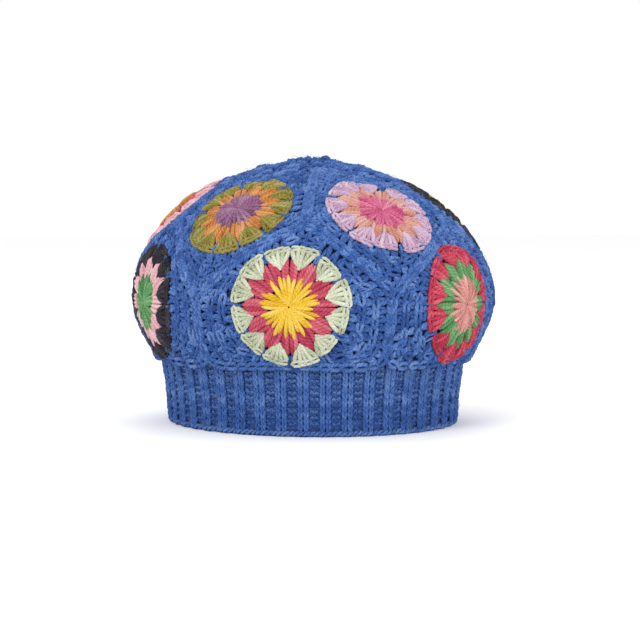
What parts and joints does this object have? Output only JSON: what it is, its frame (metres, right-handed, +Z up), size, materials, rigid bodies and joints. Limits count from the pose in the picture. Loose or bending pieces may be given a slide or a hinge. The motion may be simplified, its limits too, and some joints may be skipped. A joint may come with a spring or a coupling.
{
  "type": "crochet hat",
  "caption": "Round soft hat: a knitted 2x2 ribbed band below a domed crown of crocheted flower motifs set in a plain ground.",
  "frame": {"origin": "centre of the rim, on the surface that the hat rests on", "axes": "+Z up from the rim to the top of the crown, -Y towards the front of the hat, +X towards the wearer's left"},
  "size_m": [0.1939, 0.2228, 0.141],
  "materials": {
    "blue_yarn": "matte wool-blend yarn",
    "yellow_yarn": "matte wool-blend yarn",
    "raspberry_yarn": "matte wool-blend yarn",
    "sage_yarn": "matte wool-blend yarn",
    "green_yarn": "matte wool-blend yarn",
    "pink_yarn": "matte wool-blend yarn",
    "charcoal_yarn": "matte wool-blend yarn",
    "salmon_yarn": "matte wool-blend yarn",
    "red_yarn": "matte wool-blend yarn",
    "hot_pink_yarn": "matte wool-blend yarn",
    "peach_yarn": "matte wool-blend yarn",
    "lavender_yarn": "matte wool-blend yarn",
    "mauve_yarn": "matte wool-blend yarn",
    "orange_yarn": "matte wool-blend yarn",
    "olive_yarn": "matte wool-blend yarn"
  },
  "bodies": {
    "root": {"ribbed_band": "blue_yarn", "crown": "blue_yarn", "lower_flower_1_centre": "yellow_yarn", "lower_flower_1_ring": "raspberry_yarn", "lower_flower_1_petals": "sage_yarn", "lower_flower_2_centre": "salmon_yarn", "lower_flower_2_ring": "green_yarn", "lower_flower_2_petals": "red_yarn", "lower_flower_3_centre": "orange_yarn", "lower_flower_3_ring": "mauve_yarn", "lower_flower_3_petals": "pink_yarn", "lower_flower_4_centre": "green_yarn", "lower_flower_4_ring": "yellow_yarn", "lower_flower_4_petals": "lavender_yarn", "lower_flower_5_centre": "hot_pink_yarn", "lower_flower_5_ring": "sage_yarn", "lower_flower_5_petals": "olive_yarn", "lower_flower_6_centre": "green_yarn", "lower_flower_6_ring": "pink_yarn", "lower_flower_6_petals": "charcoal_yarn", "upper_flower_1_centre": "hot_pink_yarn", "upper_flower_1_ring": "peach_yarn", "upper_flower_1_petals": "lavender_yarn", "upper_flower_2_centre": "yellow_yarn", "upper_flower_2_ring": "olive_yarn", "upper_flower_2_petals": "charcoal_yarn", "upper_flower_3_centre": "mauve_yarn", "upper_flower_3_ring": "pink_yarn", "upper_flower_3_petals": "raspberry_yarn", "upper_flower_4_centre": "peach_yarn", "upper_flower_4_ring": "green_yarn", "upper_flower_4_petals": "sage_yarn", "upper_flower_5_centre": "orange_yarn", "upper_flower_5_ring": "raspberry_yarn", "upper_flower_5_petals": "pink_yarn", "upper_flower_6_centre": "mauve_yarn", "upper_flower_6_ring": "orange_yarn", "upper_flower_6_petals": "olive_yarn"}
  },
  "joints": []
}
